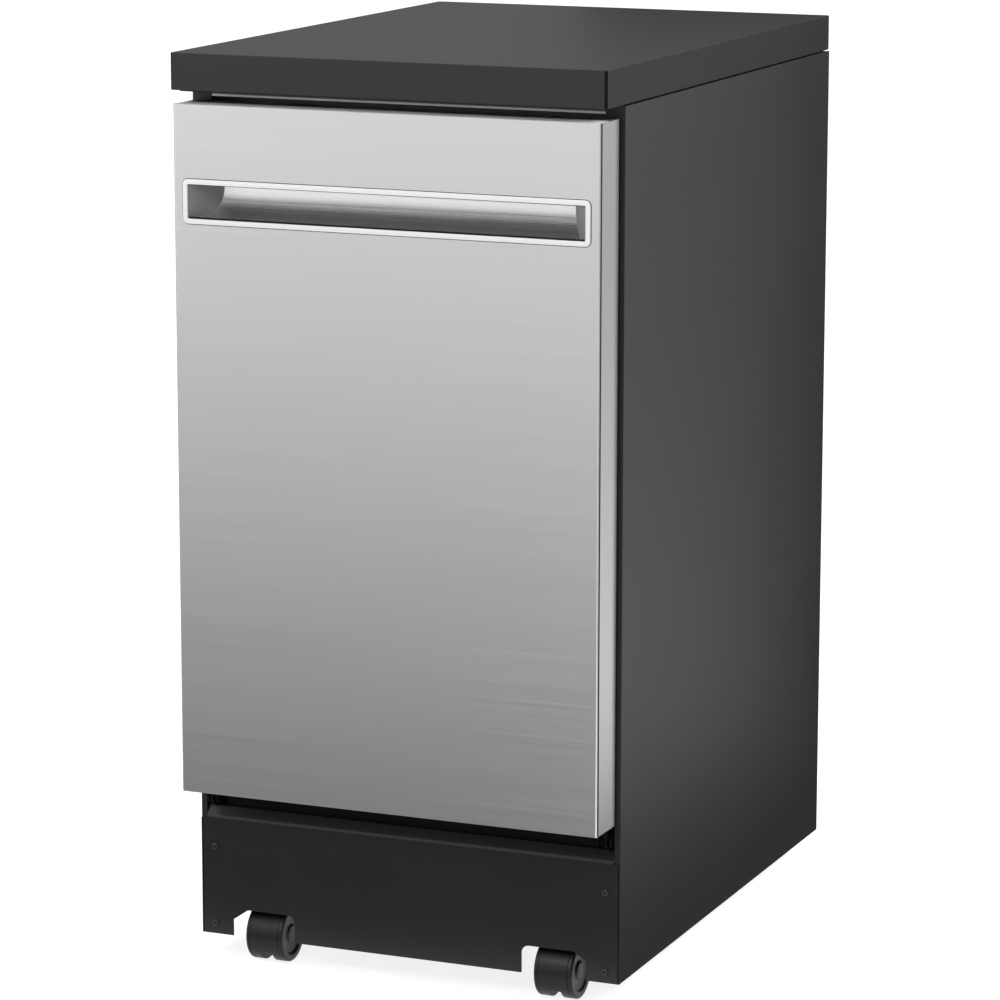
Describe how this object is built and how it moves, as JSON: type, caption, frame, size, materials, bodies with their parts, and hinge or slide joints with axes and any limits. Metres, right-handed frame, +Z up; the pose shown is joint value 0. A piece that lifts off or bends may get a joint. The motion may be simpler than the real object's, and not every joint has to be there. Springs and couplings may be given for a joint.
{
  "type": "portable dishwasher",
  "caption": "Slim portable dishwasher on swivel casters: drop-down steel door with recessed grip, wire racks, spray arms, worktop lid, hose bay.",
  "frame": {"origin": "on the floor under the middle of the whole machine", "axes": "+X to the right seen from the front, +Y to the back, +Z up"},
  "size_m": [0.45, 0.652, 0.9175],
  "materials": {
    "worktop_laminate": "matte dark grey laminate, fine grain",
    "cabinet_steel": "charcoal powder coat, fine texture",
    "kick_steel": "near-black powder coat",
    "frame_steel": "black painted steel",
    "door_steel": "horizontally brushed stainless",
    "bezel_silver": "satin silver",
    "panel_black": "black moulded plastic",
    "window_smoke": "smoked blue display window",
    "board_green": "green circuit board",
    "button_dark": "dark keys",
    "tub_steel": "bright stainless, fine grain",
    "galvanised": "zinc-plated steel",
    "spring_steel": "drawn spring wire",
    "screw_black": "blackened steel",
    "screw_steel": "plain steel",
    "seal_rubber": "soft moulded rubber",
    "grey_plastic": "grey polypropylene",
    "pale_plastic": "pale grey polypropylene",
    "basket_plastic": "blue-grey polypropylene",
    "pump_grey": "dark grey pump housing",
    "valve_blue": "blue valve body",
    "brass": "turned brass",
    "rack_coating": "grey nylon coating over steel wire",
    "heater_dark": "dark sheathed element",
    "caster_plastic": "black nylon",
    "caster_tread": "black nylon tread",
    "bay_plastic": "black moulded tray"
  },
  "bodies": {
    "cabinet": {"worktop": "worktop_laminate", "side_panel_left": "cabinet_steel", "side_panel_right": "cabinet_steel", "back_panel": "cabinet_steel", "hose_bay": "bay_plastic", "base_frame": "frame_steel", "kickplate": "kick_steel", "cabinet_screws": "screw_black", "tub": "tub_steel", "tub_gasket": "seal_rubber", "top_crossbar": "galvanised", "hinge_brackets": "galvanised", "door_springs": "spring_steel", "sump": "grey_plastic", "circulation_pump": "pump_grey", "drain_pump": "pump_grey", "inlet_valve": "valve_blue", "feed_tube": "pale_plastic", "filter_plate": "tub_steel", "heating_element": "heater_dark", "rack_guides": "galvanised", "top_spray_head": "grey_plastic", "hose_spigots": "brass", "cord_gland": "seal_rubber"},
    "door": {"door_skin": "door_steel", "handle_bezel": "bezel_silver", "door_liner": "tub_steel", "control_panel": "panel_black", "display_window": "window_smoke", "control_board": "board_green", "door_latch": "galvanised", "dispenser_body": "pale_plastic", "hinge_arms": "galvanised", "door_seal": "seal_rubber", "door_screws": "screw_steel"},
    "upper_rack": {"upper_rack": "rack_coating", "rack_slides": "galvanised"},
    "power_button": {"power_button": "button_dark"},
    "start_button": {"start_button": "button_dark"},
    "program_button": {"program_button": "button_dark"},
    "delay_button": {"delay_button": "button_dark"},
    "dispenser_lid": {"dispenser_lid": "grey_plastic"},
    "rinse_aid_cap": {"rinse_aid_cap": "grey_plastic"},
    "cup_shelf": {"cup_shelf": "rack_coating"},
    "upper_spray_arm": {"upper_spray_arm": "grey_plastic"},
    "lower_rack": {"lower_rack": "rack_coating"},
    "rack_wheels_front": {"rack_wheels_front": "pale_plastic"},
    "rack_wheels_rear": {"rack_wheels_rear": "pale_plastic"},
    "cutlery_basket": {"cutlery_basket": "basket_plastic"},
    "lower_spray_arm": {"lower_spray_arm": "grey_plastic"},
    "filter_cup": {"filter_cup": "pale_plastic"},
    "float_dome": {"float_dome": "pale_plastic"},
    "caster_front_left": {"caster_front_left": "caster_plastic"},
    "wheels_front_left": {"wheels_front_left": "caster_tread"},
    "caster_front_right": {"caster_front_right": "caster_plastic"},
    "wheels_front_right": {"wheels_front_right": "caster_tread"},
    "caster_rear_left": {"caster_rear_left": "caster_plastic"},
    "wheels_rear_left": {"wheels_rear_left": "caster_tread"},
    "caster_rear_right": {"caster_rear_right": "caster_plastic"},
    "wheels_rear_right": {"wheels_rear_right": "caster_tread"}
  },
  "joints": [
    {"name": "door_hinge", "type": "hinge", "parent": "cabinet", "child": "door", "pos_m": [0, -0.27, 0.17], "axis": [1, 0, 0], "range_deg": [0, 90], "stiffness_Nm_per_rad": 18, "springref_deg": -17.19, "deforming": ["door_springs"]},
    {"name": "power_press", "type": "slide", "parent": "door", "child": "power_button", "axis": [0, 0, -1], "range_m": [0, 0.0015], "stiffness_N_per_m": 300, "springref_m": -0.0005},
    {"name": "start_press", "type": "slide", "parent": "door", "child": "start_button", "axis": [0, 0, -1], "range_m": [0, 0.0015], "stiffness_N_per_m": 300, "springref_m": -0.0005},
    {"name": "program_press", "type": "slide", "parent": "door", "child": "program_button", "axis": [0, 0, -1], "range_m": [0, 0.0015], "stiffness_N_per_m": 300, "springref_m": -0.0005},
    {"name": "delay_press", "type": "slide", "parent": "door", "child": "delay_button", "axis": [0, 0, -1], "range_m": [0, 0.0015], "stiffness_N_per_m": 300, "springref_m": -0.0005},
    {"name": "dispenser_lid_slide", "type": "slide", "parent": "door", "child": "dispenser_lid", "axis": [-1, 0, 0], "range_m": [0, 0.056]},
    {"name": "rinse_aid_cap_twist", "type": "hinge", "parent": "door", "child": "rinse_aid_cap", "pos_m": [0.036, -0.292, 0.55], "axis": [0, 1, 0], "range_deg": [0, 90]},
    {"name": "upper_rack_slide", "type": "slide", "parent": "cabinet", "child": "upper_rack", "axis": [0, -1, 0], "range_m": [0, 0.4]},
    {"name": "cup_shelf_fold", "type": "hinge", "parent": "upper_rack", "child": "cup_shelf", "pos_m": [-0.165, 0, 0.59], "axis": [0, -1, 0], "range_deg": [0, 80]},
    {"name": "upper_arm_spin", "type": "hinge", "parent": "upper_rack", "child": "upper_spray_arm", "pos_m": [0, 0.02, 0.474], "axis": [0, 0, 1], "continuous": true},
    {"name": "lower_rack_slide", "type": "slide", "parent": "cabinet", "child": "lower_rack", "axis": [0, -1, 0], "range_m": [0, 0.126]},
    {"name": "rack_wheels_front_spin", "type": "hinge", "parent": "lower_rack", "child": "rack_wheels_front", "pos_m": [0, -0.215, 0.2016], "axis": [1, 0, 0], "range_deg": [0, 481]},
    {"name": "rack_wheels_rear_spin", "type": "hinge", "parent": "lower_rack", "child": "rack_wheels_rear", "pos_m": [0, 0.177, 0.2016], "axis": [1, 0, 0], "range_deg": [0, 481]},
    {"name": "cutlery_basket_lift", "type": "slide", "parent": "lower_rack", "child": "cutlery_basket", "axis": [0, 0, 1], "range_m": [0, 0.06]},
    {"name": "lower_arm_spin", "type": "hinge", "parent": "cabinet", "child": "lower_spray_arm", "pos_m": [0, 0.02, 0.209], "axis": [0, 0, 1], "continuous": true},
    {"name": "filter_twist", "type": "hinge", "parent": "cabinet", "child": "filter_cup", "pos_m": [0, -0.016, 0.188], "axis": [0, 0, 1], "range_deg": [0, 45]},
    {"name": "float_lift", "type": "slide", "parent": "cabinet", "child": "float_dome", "axis": [0, 0, 1], "range_m": [0, 0.01]},
    {"name": "caster_front_left_swivel", "type": "hinge", "parent": "cabinet", "child": "caster_front_left", "pos_m": [-0.156, -0.232, 0.08], "axis": [0, 0, 1], "continuous": true},
    {"name": "wheels_front_left_roll", "type": "hinge", "parent": "caster_front_left", "child": "wheels_front_left", "pos_m": [-0.156, -0.25, 0.028], "axis": [1, 0, 0], "continuous": true},
    {"name": "caster_front_right_swivel", "type": "hinge", "parent": "cabinet", "child": "caster_front_right", "pos_m": [0.156, -0.232, 0.08], "axis": [0, 0, 1], "continuous": true},
    {"name": "wheels_front_right_roll", "type": "hinge", "parent": "caster_front_right", "child": "wheels_front_right", "pos_m": [0.156, -0.25, 0.028], "axis": [1, 0, 0], "continuous": true},
    {"name": "caster_rear_left_swivel", "type": "hinge", "parent": "cabinet", "child": "caster_rear_left", "pos_m": [-0.156, 0.266, 0.08], "axis": [0, 0, 1], "continuous": true},
    {"name": "wheels_rear_left_roll", "type": "hinge", "parent": "caster_rear_left", "child": "wheels_rear_left", "pos_m": [-0.156, 0.248, 0.028], "axis": [1, 0, 0], "continuous": true},
    {"name": "caster_rear_right_swivel", "type": "hinge", "parent": "cabinet", "child": "caster_rear_right", "pos_m": [0.156, 0.266, 0.08], "axis": [0, 0, 1], "continuous": true},
    {"name": "wheels_rear_right_roll", "type": "hinge", "parent": "caster_rear_right", "child": "wheels_rear_right", "pos_m": [0.156, 0.248, 0.028], "axis": [1, 0, 0], "continuous": true}
  ],
  "couplings": [
    {"joint": "upper_rack_slide", "follows": "door_hinge", "m_per_rad": 0.2546},
    {"joint": "lower_rack_slide", "follows": "door_hinge", "m_per_rad": 0.08},
    {"joint": "rack_wheels_front_spin", "follows": "door_hinge", "ratio": 5.3333},
    {"joint": "rack_wheels_rear_spin", "follows": "door_hinge", "ratio": 5.3333}
  ]
}
